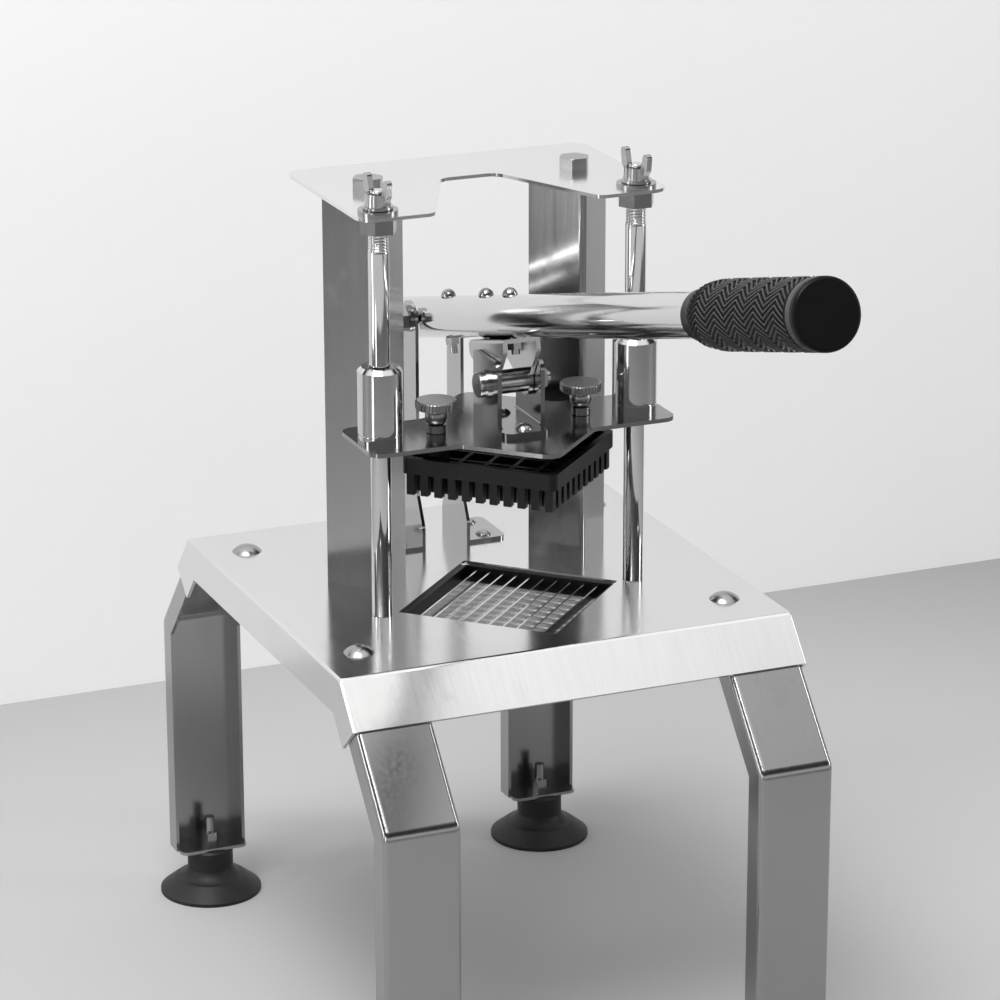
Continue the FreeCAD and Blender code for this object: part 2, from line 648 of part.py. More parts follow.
SLEEVE_SPIGOT_R = 10.5
CLEVIS_SCREW_R = 2.5
CLEVIS_FRONT_Y = PRESS_Y - EAR_DEPTH / 2 - CLEVIS_FRONT
CLEVIS_REAR_Y = PRESS_Y + EAR_DEPTH / 2
CLEVIS_SCREWS = [(0, CLEVIS_FRONT_Y + 8), (0, CLEVIS_REAR_Y - 8)]
THUMB_HOLE_R = 3.3


def make_carriage_plate():
    diag = CARRIAGE_DIAG
    wide = CARRIAGE_HALF_W
    deep = CARRIAGE_BAND
    meet = diag - deep
    right = [(0, -diag), (meet, -deep), (wide, -deep), (wide, deep), (meet, deep)]
    left = [(-meet, deep), (-wide, deep), (-wide, -deep), (-meet, -deep)]
    points = [(x, y + PRESS_Y) for x, y in right + [(0, diag)] + left]
    radii = [9, 6, 8, 8, 6, 9, 6, 8, 8, 6]
    plate = slab(points, radii, UNDER_PLATE, REST_Z)
    holes = [rod(SLEEVE_SPIGOT_R, (x, y, UNDER_PLATE - 1), CARRIAGE_T + 2) for x, y in RODS]
    holes += [rod(THUMB_HOLE_R, (sx * THUMB_X, PRESS_Y, UNDER_PLATE - 1), CARRIAGE_T + 2) for sx in (-1, 1)]
    holes += [rod(CLEVIS_SCREW_R + HOLE_PLAY, (x, y, UNDER_PLATE - 1), CARRIAGE_T + 2)
              for x, y in CLEVIS_SCREWS]
    return plate.cut(holes)


nodes["carriage_plate"] = make_carriage_plate()


# Guide sleeves with bronze liners

def make_sleeve(x, y):
    lip = 2.4
    barrel = rod(SLEEVE_R, (x, y, REST_Z), SLEEVE_H)
    rim = [e for e in barrel.Edges if e.BoundBox.ZMin > REST_Z + SLEEVE_H - 0.01]
    barrel = barrel.makeChamfer(lip, rim)
    groove = rod(SLEEVE_R + 1, (x, y, REST_Z + 3.6), 0.7).cut(rod(SLEEVE_R - 0.5, (x, y, REST_Z), 9))
    spigot = rod(SLEEVE_SPIGOT_R, (x, y, UNDER_PLATE), CARRIAGE_T + 1)
    return barrel.fuse(spigot).cut([groove, rod(LINER_R, (x, y, UNDER_PLATE - 1), SLEEVE_H + 10)])


LINER_LEN = SLEEVE_H + CARRIAGE_T - 1.5
nodes["guide_sleeve_left"] = make_sleeve(*RODS[0])
nodes["guide_sleeve_right"] = make_sleeve(*RODS[1])
nodes["sleeve_liners"] = group([rod(LINER_R, (x, y, UNDER_PLATE), LINER_LEN).cut(
    rod(ROD_R + RUNNING, (x, y, UNDER_PLATE - 1), LINER_LEN + 2)) for x, y in RODS])


# Pusher block: open tray with ribs, square fingers below

BOSS_R = 8.0
INSERT_R = 4.6
INSERT_LEN = 14.0
SCREW_R = 3.0


def make_pusher():
    half = PUSHER / 2
    square = [(-half, -half), (half, -half), (half, half), (-half, half)]
    tray = slab(square, 4, FINGER_TOP, RIM_TOP)
    hollow = half - WALL
    tray = tray.cut(slab([(-hollow, -hollow), (hollow, -hollow), (hollow, hollow), (-hollow, hollow)], 3,
                         FINGER_TOP + FLOOR_T, RIM_TOP + 1))
    rib_top = RIM_TOP - 2.5
    ribs = []
    for at in (-2, -1, 0, 1, 2):
        place = at * PUSHER / 6
        ribs.append(box(-half + 1, half - 1, place - 1.2, place + 1.2, FINGER_TOP + 1, rib_top))
        ribs.append(box(place - 1.2, place + 1.2, -half + 1, half - 1, FINGER_TOP + 1, rib_top))
    reach = FINGERS / 2
    fingers = []
    for i in range(BLADES + 1):
        x = -reach + i * CELL
        for j in range(BLADES + 1):
            y = -reach + j * CELL
            fingers.append(box(x, x + CELL - SLOT, y, y + CELL - SLOT,
                               FINGER_TOP - FINGER_H, FINGER_TOP + 0.5))
    block = turned(tray.fuse(ribs + fingers))
    bosses = [rod(BOSS_R, (sx * THUMB_X, PRESS_Y, FINGER_TOP + 1), UNDER_PLATE - FINGER_TOP - 1)
              for sx in (-1, 1)]
    pockets = [rod(INSERT_R, (sx * THUMB_X, PRESS_Y, UNDER_PLATE - INSERT_LEN), 60) for sx in (-1, 1)]
    return block.fuse(bosses).cut(pockets)


nodes["pusher_block"] = make_pusher()
nodes["pusher_inserts"] = group([
    rod(INSERT_R, (sx * THUMB_X, PRESS_Y, UNDER_PLATE - INSERT_LEN), INSERT_LEN).cut(
        rod(SCREW_R + RUNNING, (sx * THUMB_X, PRESS_Y, 0), POST_H))
    for sx in (-1, 1)])


# Thumb screws: knurled head, ball neck and threaded shank

def make_thumb_screw(x):
    knurls = 36
    seat = REST_Z + PLAY
    top = REST_Z + THUMB_UP
    head = rod(THUMB_R, (0, 0, top - THUMB_HEAD), THUMB_HEAD)
    rims = [e for e in head.Edges if len(e.Vertexes) == 1 and abs(e.Length - 2 * math.pi * THUMB_R) < 0.1]
    head = head.makeFillet(1.2, rims)
    grooves = []
    for i in range(knurls):
        angle = 2 * math.pi * i / knurls
        grooves.append(rod(0.55, (THUMB_R * math.cos(angle), THUMB_R * math.sin(angle), top - 7), 9))
    head = head.cut(grooves)
    neck = Part.makeSphere(THUMB_NECK_R, V(0, 0, top - THUMB_HEAD - THUMB_NECK_R + 2.2))
    neck = neck.common(box(-20, 20, -20, 20, seat, top))
    collar = rod(THUMB_NECK_R - 0.8, (0, 0, seat), 4.5)
    shank = rod(SCREW_R, (0, 0, UNDER_PLATE - INSERT_LEN + 2), top - UNDER_PLATE)
    screw_body = head.fuse([neck, collar, shank])
    screw_body.translate(V(x, PRESS_Y, 0))
    return screw_body


nodes["thumb_screw_left"] = make_thumb_screw(-THUMB_X)
nodes["thumb_screw_right"] = make_thumb_screw(THUMB_X)


# Clevis bracket, its screws and the pin

def make_clevis():
    outer = EAR_X + EAR_T / 2
    base = slab([(-outer, CLEVIS_FRONT_Y), (outer, CLEVIS_FRONT_Y), (outer, CLEVIS_REAR_Y),
                 (-outer, CLEVIS_REAR_Y)], [6, 6, 0, 0], REST_Z, REST_Z + CLEVIS_BASE_T)
    top = PIN_Z + EAR_TOP
    front = PRESS_Y - EAR_DEPTH / 2
    ear = side_slab([(CLEVIS_REAR_Y, REST_Z), (CLEVIS_REAR_Y, top), (front, top), (front, REST_Z)],
                    [0, 3, 7, 0], EAR_X - EAR_T / 2, outer)
    bracket = base.fuse([ear, mirror_x(ear)]).removeSplitter()
    corners = [e for e in bracket.Edges if abs(e.BoundBox.XLength) < 1e-3 and abs(e.BoundBox.ZLength) < 1e-3
               and abs(abs(e.BoundBox.XMin) - EAR_X + EAR_T / 2) < 1e-3
               and abs(e.BoundBox.ZMin - REST_Z - CLEVIS_BASE_T) < 1e-3 and e.Length > EAR_DEPTH - 1]
    if corners:
        bracket = bracket.makeFillet(BEND, corners)
    holes = [rod(PIN_R, (-30, PRESS_Y, PIN_Z), 60, X)]
    holes += [rod(CLEVIS_SCREW_R + HOLE_PLAY, (x, y, REST_Z - 1), 6) for x, y in CLEVIS_SCREWS]
    return bracket.cut(holes)


PIN_OUT = EAR_X + EAR_T / 2
PIN_WASHER = 1.6


def make_clevis_pin():
    """Shoulder bolt: round head, full shoulder, thinner threaded end."""
    start = -PIN_OUT - PIN_WASHER
    shoulder = rod(PIN_R, (start, PRESS_Y, PIN_Z), PIN_OUT - start + 0.5, X)
    thread = rod(PIN_R - 1, (PIN_OUT, PRESS_Y, PIN_Z), 10, X)
    head = rod(7.5, (start - 4.0, PRESS_Y, PIN_Z), 4.0, X)
    rims = [e for e in head.Edges if len(e.Vertexes) == 1 and e.BoundBox.XMax < start - 3.9]
    return head.makeFillet(0.9, rims).fuse([shoulder, thread])


nodes["clevis_bracket"] = make_clevis()
nodes["clevis_screws"] = group([screw(5.2, 3.2, CLEVIS_SCREW_R, (x, y, REST_Z + CLEVIS_BASE_T), 11)
                                for x, y in CLEVIS_SCREWS])
nodes["clevis_screw_nuts"] = group([nut(HEX_5, CLEVIS_SCREW_R, (x, y, UNDER_PLATE - NUT_5), NUT_5)
                                    for x, y in CLEVIS_SCREWS])
nodes["clevis_pin"] = make_clevis_pin()
nodes["clevis_pin_washer"] = rod(8.5, (-PIN_OUT - PIN_WASHER, PRESS_Y, PIN_Z), PIN_WASHER, X).cut(
    rod(PIN_R, (-30, PRESS_Y, PIN_Z), 30, X))
nodes["clevis_pin_nut"] = nut(HEX_8, PIN_R - 1, (PIN_OUT + 0.5, PRESS_Y, PIN_Z), NUT_8, X)


# Lever: drawn level with the pin at the origin and the tube along Y, then tilted

def lever(shape):
    shape = shape.copy()
    shape.rotate(V(0, 0, 0), X, -LEVER_TILT)
    shape.translate(V(0, PRESS_Y, PIN_Z))
    return shape


YOKE_TOP = AXIS_H - TUBE_R
BOLT_PLACES = [(0, at) for at in YOKE_BOLTS]


def make_tube():
    length = TUBE_REAR - TUBE_FRONT
    tube = rod(TUBE_R, (0, TUBE_FRONT, AXIS_H), length, Y)
    rims = [e for e in tube.Edges if len(e.Vertexes) == 1 and e.Length > 2 * TUBE_R]
    tube = tube.makeFillet(0.6, rims)
    tube = tube.cut(rod(TUBE_R - TUBE_WALL, (0, TUBE_FRONT - 1, AXIS_H), length + 2, Y))
    slot = side_slab([(SLOT_FROM, AXIS_H - SLOT_HALF), (SLOT_TO, AXIS_H - SLOT_HALF),
                      (SLOT_TO, AXIS_H + SLOT_HALF), (SLOT_FROM, AXIS_H + SLOT_HALF)],
                     SLOT_HALF - 0.01, -TUBE_R - 1, TUBE_R + 1)
    holes = [rod(YOKE_BOLT_R, (0, at, 0), 80) for at in YOKE_BOLTS + (TAIL_BOLT,)]
    return tube.cut([slot] + holes)


def make_yoke():
    """Inverted U under the tube, its legs tapering to the pin."""
    top = YOKE_TOP
    cheek = [(YOKE_FRONT, top), (YOKE_FRONT, top - 8), (-YOKE_NOSE_R, 2), (-YOKE_NOSE_R, -YOKE_NOSE_R),
             (YOKE_NOSE_R, -YOKE_NOSE_R), (YOKE_NOSE_R, 2), (YOKE_REAR, top - 8), (YOKE_REAR, top)]
    radii = [0, 2, 4, YOKE_NOSE_R - 0.1, YOKE_NOSE_R - 0.1, 4, 2, 0]
    block = side_slab(cheek, radii, -YOKE_HALF_W, YOKE_HALF_W)
    inside = YOKE_HALF_W - YOKE_T
    block = block.cut(box(-inside, inside, -60, 60, -20, top - YOKE_T))
    edges = [e for e in block.Edges if e.Length > 50 and abs(e.BoundBox.ZMin - top) < 1e-3
             and abs(abs(e.BoundBox.XMin) - YOKE_HALF_W) < 1e-3]
    block = block.makeFillet(YOKE_T, edges)
    holes = [rod(YOKE_BOLT_R, (0, at, 0), 60) for at in YOKE_BOLTS]
    holes.append(rod(PIN_R + 2.0, (-30, 0, 0), 60, X))
    saddle = rod(TUBE_R, (0, -60, AXIS_H), 120, Y)
    return block.cut(holes + [saddle])


def dome_bolt(at):
    """Round head that sits on the tube's curve, with its shank through the tube."""
    seat = AXIS_H + TUBE_R - 0.4
    head = dome(DOME_R, 4.6, (0, at, seat)).cut(rod(TUBE_R, (0, at - 20, AXIS_H), 40, Y))
    shank = rod(YOKE_BOLT_R, (0, at, seat - 2 * TUBE_R - 9), 2 * TUBE_R + 10)
    return head.fuse(shank)


nodes["lever_tube"] = lever(make_tube())
nodes["lever_yoke"] = lever(make_yoke())
nodes["yoke_bolts"] = group([lever(dome_bolt(at)) for at in YOKE_BOLTS + (TAIL_BOLT,)])
yoke_nuts = [nut(HEX_5, YOKE_BOLT_R, (0, at, YOKE_TOP - YOKE_T - NUT_5), NUT_5) for at in YOKE_BOLTS]
tail_nut = nut(HEX_5, YOKE_BOLT_R, (0, TAIL_BOLT, YOKE_TOP - 3.8), NUT_5)
yoke_nuts.append(tail_nut.cut(rod(TUBE_R, (0, 0, AXIS_H), 200, Y)))
nodes["yoke_nuts"] = group([lever(piece) for piece in yoke_nuts])
nodes["pin_sleeve"] = lever(rod(PIN_R + 2.0, (-YOKE_HALF_W, 0, 0), 2 * YOKE_HALF_W, X).cut(
    rod(PIN_R + RUNNING, (-30, 0, 0), 60, X)))


# Grip: rubber sleeve with zigzag ribs, collar rings and a flat end cap

def make_grip():
    """Rubber tube on the lever with a tapered start and a ring at each end of the rib field."""
    core_r = GRIP_R - RIB_H
    start = GRIP_FROM
    profile = [(TUBE_R, start), (core_r - 2.4, start), (core_r - 1.6, start - 2.0), (core_r, start - 9.0),
               (core_r, GRIP_TO + 7), (GRIP_R, GRIP_TO + 6), (GRIP_R, GRIP_TO), (TUBE_R, GRIP_TO)]
    wire = Part.makePolygon([V(r, y, 0) for r, y in profile + profile[:1]])
    body = Part.Face(wire).revolve(V(0, 0, 0), Y, 360)
    body.translate(V(0, 0, AXIS_H))
    return body


def make_cap():
    cap = rod(GRIP_R, (0, GRIP_TO - CAP_T, AXIS_H), CAP_T, Y)
    plug = rod(TUBE_R - TUBE_WALL, (0, GRIP_TO - 0.5, AXIS_H), 20, Y)
    rims = [e for e in cap.Edges if len(e.Vertexes) == 1 and e.BoundBox.YMax < GRIP_TO - CAP_T + 0.1]
    return cap.makeFillet(CAP_ROUND, rims).fuse(plug)


nodes["grip"] = lever(make_grip())
nodes["grip_cap"] = lever(make_cap())


os.makedirs("parts", exist_ok=True)
for name, shape in nodes.items():
    shape = shape.copy()
    shape.translate(SHIFT)
    shape.exportStep("parts/" + name + ".step")
print(len(nodes), "nodes; shift", SHIFT)
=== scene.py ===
# %% [markdown]
# # French fry cutter in polished stainless steel
# The imported CAD model gives every rigid piece its place and size. This notebook dresses it: it
# gives each piece a procedural finish, adds the threads and the rubber grip's ribs as surfaces
# worked out with numpy, and stages the part on a pale floor with the photograph's camera.
#
# The first cell loads the imported pieces, each in its place, in metres, with the floor at height
# zero.

# %% Load the frame
import math

import bpy
import numpy as np
from mathutils import Matrix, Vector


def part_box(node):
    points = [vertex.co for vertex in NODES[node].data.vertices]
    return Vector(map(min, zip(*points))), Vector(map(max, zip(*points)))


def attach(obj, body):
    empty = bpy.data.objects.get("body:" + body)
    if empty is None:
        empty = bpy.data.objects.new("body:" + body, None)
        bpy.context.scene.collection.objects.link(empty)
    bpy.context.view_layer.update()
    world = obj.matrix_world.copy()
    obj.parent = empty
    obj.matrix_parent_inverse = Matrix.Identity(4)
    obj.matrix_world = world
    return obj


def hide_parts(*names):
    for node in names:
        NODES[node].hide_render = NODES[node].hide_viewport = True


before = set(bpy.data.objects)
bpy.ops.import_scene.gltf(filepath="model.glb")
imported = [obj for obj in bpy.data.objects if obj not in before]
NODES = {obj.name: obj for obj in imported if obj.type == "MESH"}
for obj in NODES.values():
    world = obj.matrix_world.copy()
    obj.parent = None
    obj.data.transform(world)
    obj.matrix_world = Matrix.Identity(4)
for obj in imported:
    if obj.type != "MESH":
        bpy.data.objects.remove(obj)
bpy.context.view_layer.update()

# %% [markdown]
# ## Sums with shader sockets
# A finish changes over its surface: a little duller here, a little darker there. Such a change is
# a sum, and a sum is easier to read as an expression than as a web of nodes. `Value` wraps one
# output socket, and an expression on it adds Math nodes. The operators have their reflected
# forms, so that a plain number may come first, as in `1 - mask`.


# %% A socket that Python can do sums with
class Value:
    """One output socket. The operators and the methods below add nodes to its tree."""

    def __init__(self, finish, socket):
        self.finish = finish
        self.socket = socket

    def math(self, operation, first, second):
        """A Math node on two values, each a socket or a number."""
        return self.finish.node("Math", {"operation": operation}, [first, second])["Value"]

    def __add__(self, other):
        return self.math("ADD", self, other)

    def __sub__(self, other):
        return self.math("SUBTRACT", self, other)

    def __rsub__(self, other):
        return self.math("SUBTRACT", other, self)

    def __mul__(self, other):
        return self.math("MULTIPLY", self, other)

    __radd__ = __add__
    __rmul__ = __mul__

    def clamp(self, lowest=0.0, highest=1.0):
        """The value, held between lowest and highest."""
        return self.math("MINIMUM", self.math("MAXIMUM", self, lowest), highest)

    def ramp(self, start, end, to_min=0.0, to_max=1.0):
        """Smooth step: to_min below start, to_max above end."""
        settings = {"interpolation_type": "SMOOTHSTEP", "clamp": True}
        sockets = {"Value": self, "From Min": start, "From Max": end,
                   "To Min": to_min, "To Max": to_max}
        return self.finish.node("MapRange", settings, sockets)["Result"]


# %% [markdown]
# ## One method for every node
# `Finish` starts a material, or takes over the world's nodes. Its `node` makes any node from its
# type, its settings and what goes into its sockets, and the short methods under it name the few
# that metal, rubber and paint need. Patterns read Object coordinates. Each piece's place is in its
# mesh, so a pattern runs on over its neighbours and stays with the piece when it moves.


# %% A finish under construction
class Finish:
    """A node tree under construction, for a material or for the world."""

    def __init__(self, name, tree=None):
        self.material = None
        if tree is None:
            self.material = bpy.data.materials.new(name)
            self.material.use_nodes = True
            tree = self.material.node_tree
        self.tree = tree
        self.tree.nodes.clear()

    def node(self, kind, settings=None, sockets=None):
        """Adds a node; sockets is a dict by name or place, or a list. Returns its outputs."""
        made = self.tree.nodes.new("ShaderNode" + kind)
        for key, setting in (settings or {}).items():
            setattr(made, key, setting)
        pairs = sockets.items() if isinstance(sockets, dict) else enumerate(sockets or [])
        for key, given in pairs:
            if isinstance(given, Value):
                self.tree.links.new(given.socket, made.inputs[key])
            else:
                made.inputs[key].default_value = given
        return {out.name: Value(self, out) for out in made.outputs if out.enabled}

    def place(self, scale=(1, 1, 1), move=(0, 0, 0), turn=(0, 0, 0)):
        """Object coordinates, stretched, turned and then moved."""
        where = self.node("TexCoord")["Object"]
        sockets = {"Vector": where, "Scale": scale, "Location": move, "Rotation": turn}
        return self.node("Mapping", {}, sockets)["Vector"]

    def noise(self, scale, detail=2.0, stretch=(1, 1, 1), roughness=0.5):
        """Soft noise from 0 to 1; a small number in stretch draws it out along that axis."""
        sockets = {"Vector": self.place(stretch), "Scale": scale,
                   "Detail": detail, "Roughness": roughness}
        return self.node("TexNoise", {}, sockets)["Fac"]

    def blend(self, share, first, second):
        """Colour that goes from first to second as share goes from 0 to 1."""
        sockets = {"Factor": share, MIX_FIRST: first, MIX_SECOND: second}
        return self.node("Mix", {"data_type": "RGBA"}, sockets)["Result"]

    def length(self, vector):
        """How long a vector is."""
        return self.node("VectorMath", {"operation": "LENGTH"}, [vector])["Value"]

    def bump(self, height, strength, distance):
        """A normal that leans as the height's slope does."""
        sockets = {"Height": height, "Strength": strength, "Distance": distance}
        return self.node("Bump", {}, sockets)["Normal"]

    def shade(self, **sockets):
        """The final Principled surface; names are given with underscores for spaces."""
        named = {key.replace("_", " "): given for key, given in sockets.items()}
        surface = self.node("BsdfPrincipled", {}, named)["BSDF"]
        self.node("OutputMaterial", {}, {"Surface": surface})
        return self.material


MIX_FIRST, MIX_SECOND = 6, 7    # places of the two colours on a Mix node, which share their names

# %% [markdown]
# ## Stainless steel
# Polished sheet mirrors the room, but never perfectly: rolling leaves hair-fine parallel lines,
# hands leave patches that are a little duller, and the sheet is very slightly wavy. These marks
# could come from a picture, but a picture repeats and needs every sheet unwrapped. So one metal
# gets its layers from noise: drawn-out noise for the rolling lines, broad soft noise for wiping
# marks and smears, and a gentle bump that makes reflections swim.

# %% One metal for every steel
WIPE_SCALE = 9.0            # wiping marks, wider than a hand
WIPE_SHARE = 0.7            # how far a wiping mark moves the roughness
WIPE_FROM, WIPE_GAIN = 0.35, 0.9    # noise where the tone starts to change, and how fast
SMEAR_SCALE = 38.0          # finger smears
SMEAR_STRETCH = (1.0, 0.5, 0.7)
SMEAR_FROM, SMEAR_FULL = 0.55, 0.75
SMEAR_ROUGH = 0.05          # roughness that a smear adds
WAVE_SCALE = 14.0           # waves in the sheet
STEEL_BUMP = (0.35, 0.002)  # strength and distance
DULL = 0.93                 # tone of a wiped patch, as a share of the clean one
WARM, COOL = 0.004, -0.006  # tints of the clean and the wiped metal


def grey(level, warm=0.0):
    """A grey; warm lifts its red and lowers its blue by that share."""
    return (level * (1 + warm), level, level * (1 - warm), 1)


def steel(name, level, rough, lines=(1, 1, 1), line_scale=900.0, line_depth=0.02, wave=0.0):
    """Metal of one tone. Roughness is rough times a grain of 3/4 to 5/4, plus wiping marks and
    smears. Lines draws out the fine grain, and wave bends reflections."""
    metal = Finish(name)
    grain = metal.noise(line_scale, 2.0, lines)
    wipe = metal.noise(WIPE_SCALE, 3.0, roughness=0.6)
    smear = metal.noise(SMEAR_SCALE, 4.0, SMEAR_STRETCH, 0.65)
    smeared = smear.ramp(SMEAR_FROM, SMEAR_FULL, 0, SMEAR_ROUGH)
    roughness = rough * (0.75 + 0.5 * grain) + (wipe - 0.5) * rough * WIPE_SHARE + smeared
    wiped = (wipe - WIPE_FROM).clamp() * WIPE_GAIN
    tone = metal.blend(wiped, grey(level, WARM), grey(level * DULL, COOL))
    height = grain * line_depth + metal.noise(WAVE_SCALE, 1.0) * wave
    return metal.shade(Base_Color=tone, Metallic=1.0, Roughness=roughness.clamp(0.03, 0.8),
                       Normal=metal.bump(height, *STEEL_BUMP))


# %% [markdown]
# ## The steels of this cutter
# Sheet is rolled, so its lines run straight. The table and the top plate are the brightest. The
# carriage, the uprights and the legs look darker in the photograph, because they mirror darker
# parts of its room. This room is pale on all sides, so that darkness is painted into the metal's
# tone as painted shade, where it holds from every side. Rods and tube are ground along their
# length, and pins and knobs are turned on a lathe, which leaves lines round their axis. Tone
# comes first, then mean roughness.

# %% Sheet, bar, turned steel, plating and bronze
ROLLED_BACK = (1.0, 0.03, 0.03)     # lines from front to back
ROLLED_UP = (1.0, 1.0, 0.03)        # lines upwards
GROUND_UP = (1.0, 1.0, 0.05)
GROUND_BACK = (1.0, 0.04, 1.0)
TURNED_ROUND = (0.05, 0.05, 1.0)    # lines round an upright axis
HONED_UP = (1, 1, 0.1)
SHEET = {"line_scale": 700.0, "line_depth": 0.012}
BAR = {"line_scale": 900.0, "line_depth": 0.008}
LATHE = {"line_scale": 1600.0, "line_depth": 0.01}

sheet = steel("polished_sheet", 0.78, 0.16, ROLLED_BACK, wave=0.12, **SHEET)
# painted shade: these copies of the polished sheet are darker, standing in for the darker room
# that they would mirror
sheet_dark_painted_shade = steel("polished_sheet_carriage_painted_shade", 0.27, 0.15, ROLLED_BACK, wave=0.06, **SHEET)
sheet_upright_painted_shade = steel("polished_sheet_upright", 0.44, 0.17, ROLLED_UP, wave=0.03, **SHEET)
leg_sheet_painted_shade = steel("brushed_legs_painted_shade", 0.36, 0.20, ROLLED_UP, wave=0.03, **SHEET)
bar = steel("ground_bar", 0.62, 0.085, GROUND_UP, **BAR)
tube = steel("polished_tube", 0.66, 0.10, GROUND_BACK, **BAR)
turned = steel("turned_steel", 0.46, 0.20, TURNED_ROUND, **LATHE)
knob = steel("satin_knob", 0.26, 0.28, TURNED_ROUND, **LATHE)
plated = steel("plated_fastener", 0.36, 0.22, line_scale=1500.0, line_depth=0.01)
edge = steel("blade_steel", 0.75, 0.14, HONED_UP, line_scale=900.0, line_depth=0.02)
bronze = steel("sintered_bronze", 0.45, 0.35, line_scale=1200.0, line_depth=0.1)
METALS = [sheet, sheet_dark_painted_shade, sheet_upright_painted_shade, leg_sheet_painted_shade, bar, tube]
METALS += [turned, knob, plated, edge, bronze]
print("metals:", [metal.name for metal in METALS])

# %% [markdown]
# ## Black plastic and rubber
# The pusher is moulded in black plastic with a fine spark-eroded grain, so it is neither glossy
# nor quite matt. The grip and the feet are rubber: darker, duller, with a dusty bloom on top.
# One recipe serves both: very fine noise for the grain, and broad noise, cut off low, for bloom.

# %% Moulded blacks
BLOOM_SCALE = 30.0
BLOOM_FROM, BLOOM_FULL = 0.42, 0.75
BLOOM_ROUGH = 0.08          # roughness that bloom adds
GRAIN_ROUGH = 0.16          # roughness from the bottom of the grain to its top
GRAIN_BUMP = 0.3
CREST_HIGHLIGHT_TONE = 0.065           # painted highlight: tone of the rib tops, lighter than the grooves
WORN_GLOSS = 0.12           # roughness that polishing takes away


def moulded(name, level, rough, grain_scale, grain_depth, bloom, specular=0.3, crest=None):
    """Black with grain and bloom. crest is (move, turn, low radius, high radius): a surface
    farther from that axis, between the two radii, gets a painted highlight in a lighter tone and
    is glossier."""
    black = Finish(name)
    grain = black.noise(grain_scale, 3.0)
    dust = black.noise(BLOOM_SCALE, 4.0, roughness=0.7).ramp(BLOOM_FROM, BLOOM_FULL)
    tone = black.blend(dust * bloom, grey(level), grey(level * 2.6 + 0.01))
    roughness = rough + (grain - 0.5) * GRAIN_ROUGH + dust * BLOOM_ROUGH
    if crest:
        move, turn, low_radius, high_radius = crest
        across = [black.place(move=move, turn=turn), (1, 0, 1)]
        across = black.node("VectorMath", {"operation": "MULTIPLY"}, across)["Vector"]
        crest_highlight = black.length(across).ramp(low_radius, high_radius)
        # painted highlight: the rib tops get a lighter tone than the grooves
        tone = black.blend(crest_highlight, tone, grey(CREST_HIGHLIGHT_TONE))
        roughness = roughness - crest_highlight * WORN_GLOSS
    return black.shade(Base_Color=tone, Roughness=roughness.clamp(0.1, 1),
                       Normal=black.bump(grain, GRAIN_BUMP, grain_depth),
                       Specular_IOR_Level=specular)


plastic = moulded("pusher_plastic", 0.005, 0.33, 2600.0, 0.00012, bloom=0.12, specular=0.22)
frame_black = moulded("blade_frame_black", 0.007, 0.32, 1800.0, 0.0001, bloom=0.1)
foot_rubber = moulded("foot_rubber", 0.009, 0.5, 1500.0, 0.0002, bloom=0.3)
cap_rubber = moulded("cap_rubber", 0.004, 0.38, 3000.0, 0.0001, bloom=0.05, specular=0.12)
print("blacks:", [black.name for black in (plastic, frame_black, foot_rubber, cap_rubber)])

# %% [markdown]
# ## The lever's own axes
# The lever stands at a slant. Its grip is easier to work out along the tube, and is then turned
# into place. The clevis pin is the origin of the lever's axes. Its place is read from the packed
# pin sleeve, so that the grip agrees with the tube that it sits on.

# %% From the lever's axes to the part
LEVER_TILT = math.radians(14.65)
TILT_COS, TILT_SIN = math.cos(LEVER_TILT), math.sin(LEVER_TILT)
AXIS_H = 0.0374             # tube axis above the clevis pin
pin_low, pin_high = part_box("pin_sleeve")
PIN = np.array([0.0, (pin_low[1] + pin_high[1]) / 2, (pin_low[2] + pin_high[2]) / 2])


def on_lever(x, along, up):
    """From the lever's own axes, pin at the origin, to the part: a turn about X and a shift."""
    y = PIN[1] + along * TILT_COS + up * TILT_SIN
    z = PIN[2] - along * TILT_SIN + up * TILT_COS
    return x, y, z


print("clevis pin at", PIN.round(4))

# %% [markdown]
# ## Grip rubber
# The tops of the ribs carry a painted highlight, a tone a touch lighter than the grooves, and are
# glossier.
# Painting that by hand would need the grip unwrapped. Here the finish finds the tops by their
# distance from the grip's axis: Object coordinates are turned and moved onto that axis, and the
# length across it tells top from groove.

# %% Rubber with a painted highlight on its ribs
GRIP_R = 0.0186             # over the ribs
RIB_HEIGHT = 0.0011
HIGHLIGHT_FROM, HIGHLIGHT_FULL = 0.55, 0.1    # depth below the tops, in rib heights
_, axis_y, axis_z = on_lever(0, 0, AXIS_H)
onto_axis = (0, TILT_SIN * axis_z - TILT_COS * axis_y, -TILT_SIN * axis_y - TILT_COS * axis_z)
crest_highlight_radii = GRIP_R - HIGHLIGHT_FROM * RIB_HEIGHT, GRIP_R - HIGHLIGHT_FULL * RIB_HEIGHT
grip_rubber = moulded("grip_rubber", 0.003, 0.34, 2200.0, 0.00006, bloom=0.04, specular=0.14,
                      crest=(onto_axis, (LEVER_TILT, 0, 0), *crest_highlight_radii))
print("ribs get a painted highlight between radius", *(round(radius, 5) for radius in crest_highlight_radii))

# %% [markdown]
# ## Which finish each piece takes
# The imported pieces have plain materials, one slot each. A table from the start of a piece's name
# to its finish is short, and it covers left and right pieces at once. Pieces that it doesn't name
# are nuts, bolts and washers, which are plated.

